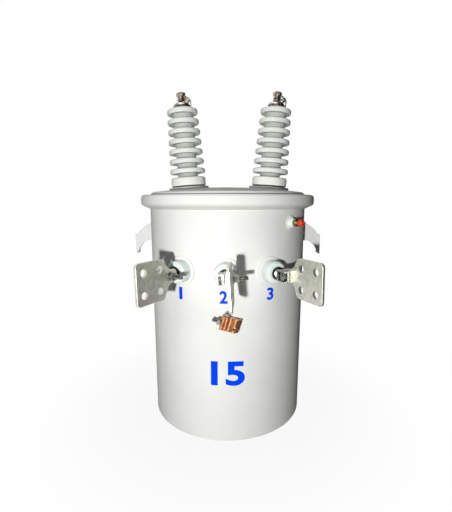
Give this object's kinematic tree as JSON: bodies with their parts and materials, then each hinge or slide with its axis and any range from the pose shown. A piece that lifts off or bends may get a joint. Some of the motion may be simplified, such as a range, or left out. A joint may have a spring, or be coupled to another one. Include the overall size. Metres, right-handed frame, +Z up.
{
  "type": "pole mounted transformer",
  "caption": "Single phase pole mounted distribution transformer: round painted oil tank, clamped cover, ribbed high voltage bushings and spade terminals.",
  "frame": {"origin": "on the tank's axis, in the plane of the bottom rim that stands on the floor", "axes": "+Z up along the tank's axis, the low voltage terminals face -Y and the hanger brackets face +Y"},
  "size_m": [0.5016, 0.624, 0.8403],
  "materials": {
    "tank_paint": "gloss",
    "black_rubber": "matt",
    "grey_rubber": "matt",
    "hv_porcelain": "gloss",
    "lv_porcelain": "gloss",
    "tinned_bronze": "satin",
    "zinc_steel": "satin",
    "copper_alloy": "satin",
    "brass": "satin",
    "red_plastic": "gloss"
  },
  "bodies": {
    "root": {"band_bolt": "zinc_steel", "cover": "tank_paint", "cover_band": "tank_paint", "cover_gasket": "black_rubber", "ground_bolt": "zinc_steel", "ground_clamp": "copper_alloy", "ground_pad": "tank_paint", "hanger_bracket_lower": "tank_paint", "hanger_bracket_upper": "tank_paint", "hv_bushing_left": "hv_porcelain", "hv_bushing_right": "hv_porcelain", "hv_cap_left": "tinned_bronze", "hv_cap_right": "tinned_bronze", "hv_seat_gasket_left": "black_rubber", "hv_seat_gasket_right": "black_rubber", "hv_terminal_left": "tinned_bronze", "hv_terminal_right": "tinned_bronze", "hv_top_gasket_left": "grey_rubber", "hv_top_gasket_right": "grey_rubber", "lifting_lug_left": "tank_paint", "lifting_lug_right": "tank_paint", "lv_boss_centre": "tank_paint", "lv_boss_left": "tank_paint", "lv_boss_right": "tank_paint", "lv_bushing_centre": "lv_porcelain", "lv_bushing_left": "lv_porcelain", "lv_bushing_right": "lv_porcelain", "lv_clamp_bolt_centre": "zinc_steel", "lv_clamp_bolt_left": "zinc_steel", "lv_clamp_bolt_right": "zinc_steel", "lv_jaw_centre": "tinned_bronze", "lv_jaw_left": "tinned_bronze", "lv_jaw_right": "tinned_bronze", "lv_spade_centre": "tinned_bronze", "lv_spade_left": "tinned_bronze", "lv_spade_right": "tinned_bronze", "lv_stud_centre": "tinned_bronze", "lv_stud_left": "tinned_bronze", "lv_stud_right": "tinned_bronze", "lv_washer_centre": "black_rubber", "lv_washer_left": "black_rubber", "lv_washer_right": "black_rubber", "relief_body": "brass", "relief_boss": "tank_paint", "relief_cap": "red_plastic", "tank_bottom": "tank_paint", "tank_rim": "tank_paint", "tank_shell": "tank_paint"}
  },
  "joints": []
}
